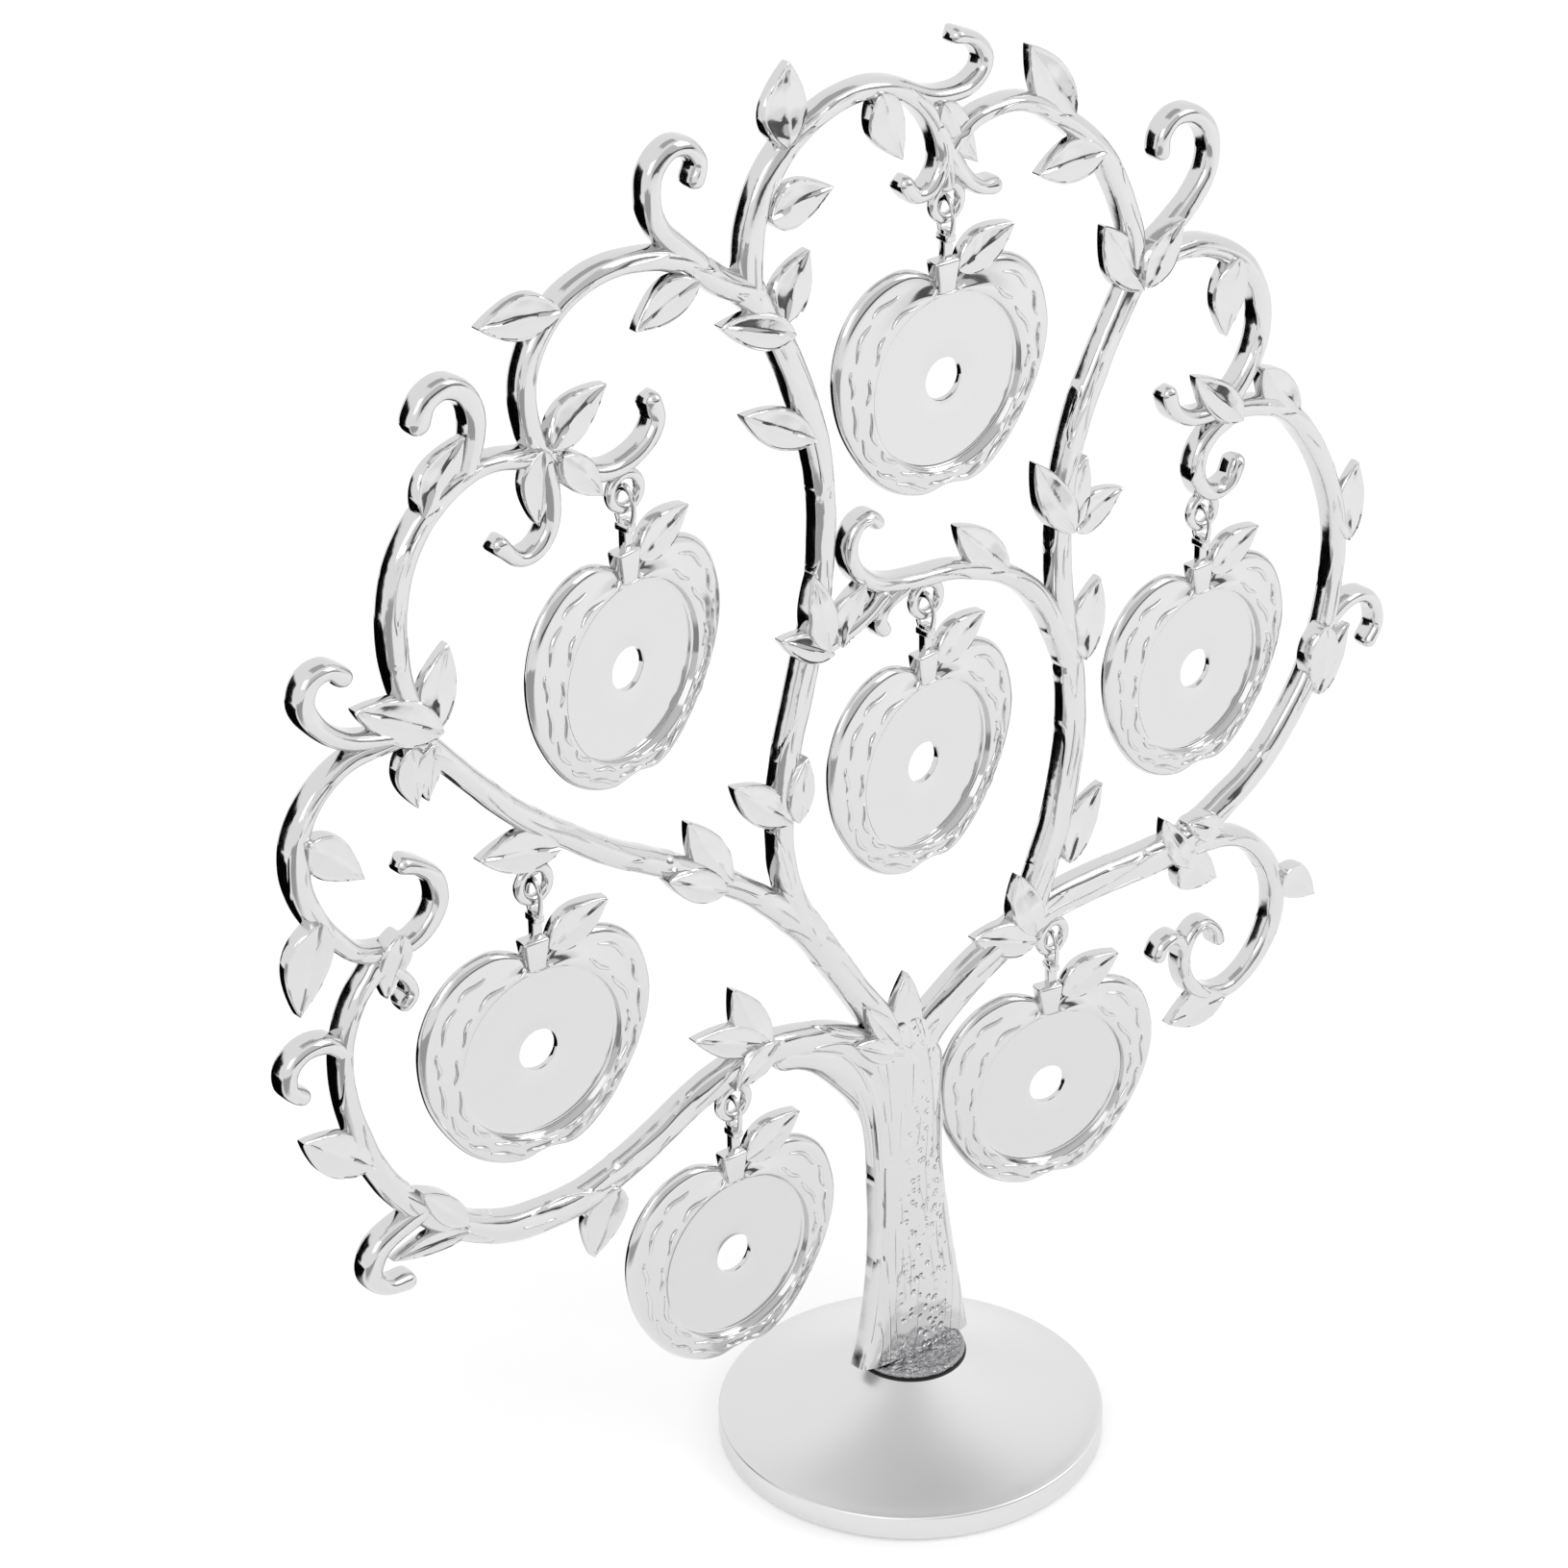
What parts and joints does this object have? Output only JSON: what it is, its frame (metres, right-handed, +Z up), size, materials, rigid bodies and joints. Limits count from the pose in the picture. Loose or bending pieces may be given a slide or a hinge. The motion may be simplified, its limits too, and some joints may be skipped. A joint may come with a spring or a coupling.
{
  "type": "photo tree stand",
  "caption": "Flat metal tree with curled boughs and leaves on a round base, with apple shaped photo pendants hanging from eyes under the boughs.",
  "frame": {"origin": "centre of the underside of the base, on the table", "axes": "+Z up, the front of the tree looks along -Y, +X to the right as seen from the front"},
  "size_m": [0.3041, 0.0866, 0.333],
  "materials": {
    "polished_cast": "polished, bark texture",
    "satin_base": "brushed satin",
    "steel": "plain",
    "felt": "felt"
  },
  "bodies": {
    "stand": {"base": "satin_base", "felt_pad": "felt", "screw": "steel", "trunk": "polished_cast", "bough_low_left": "polished_cast", "bough_mid_left": "polished_cast", "bough_right": "polished_cast", "branch_left": "polished_cast", "branch_right": "polished_cast", "branch_far_right": "polished_cast", "loop_low_right": "polished_cast", "arch_top_left": "polished_cast", "arch_up_left": "polished_cast", "arch_left": "polished_cast", "loop_left": "polished_cast", "arch_top_right": "polished_cast", "arch_right": "polished_cast", "hook_right": "polished_cast", "arch_centre": "polished_cast"},
    "pendant_1": {"apple_1": "polished_cast", "hanger_1": "polished_cast"},
    "pendant_2": {"apple_2": "polished_cast", "hanger_2": "polished_cast"},
    "pendant_3": {"apple_3": "polished_cast", "hanger_3": "polished_cast"},
    "pendant_4": {"apple_4": "polished_cast", "hanger_4": "polished_cast"},
    "pendant_5": {"apple_5": "polished_cast", "hanger_5": "polished_cast"},
    "pendant_6": {"apple_6": "polished_cast", "hanger_6": "polished_cast"},
    "pendant_7": {"apple_7": "polished_cast", "hanger_7": "polished_cast"}
  },
  "joints": [
    {"name": "pendant_1_swing", "type": "hinge", "parent": "stand", "child": "pendant_1", "pos_m": [0.0093, 0, 0.28982], "axis": [0.9986, -0.0523, 0], "range_deg": [-80, 80]},
    {"name": "pendant_2_swing", "type": "hinge", "parent": "stand", "child": "pendant_2", "pos_m": [-0.0736, 0, 0.25235], "axis": [0.9877, 0.1564, 0], "range_deg": [-80, 80]},
    {"name": "pendant_3_swing", "type": "hinge", "parent": "stand", "child": "pendant_3", "pos_m": [0.0041, 0, 0.20368], "axis": [0.9962, 0.0872, 0], "range_deg": [-80, 80]},
    {"name": "pendant_4_swing", "type": "hinge", "parent": "stand", "child": "pendant_4", "pos_m": [0.084, 0, 0.19848], "axis": [0.9998, 0.0175, 0], "range_deg": [-80, 80]},
    {"name": "pendant_5_swing", "type": "hinge", "parent": "stand", "child": "pendant_5", "pos_m": [-0.0993, 0, 0.1751], "axis": [0.9976, -0.0698, 0], "range_deg": [-80, 80]},
    {"name": "pendant_6_swing", "type": "hinge", "parent": "stand", "child": "pendant_6", "pos_m": [-0.0498, 0, 0.10374], "axis": [0.9994, -0.0349, 0], "range_deg": [-80, 80]},
    {"name": "pendant_7_swing", "type": "hinge", "parent": "stand", "child": "pendant_7", "pos_m": [0.0414, 0, 0.10854], "axis": [0.9781, -0.2079, 0], "range_deg": [-80, 80]}
  ]
}
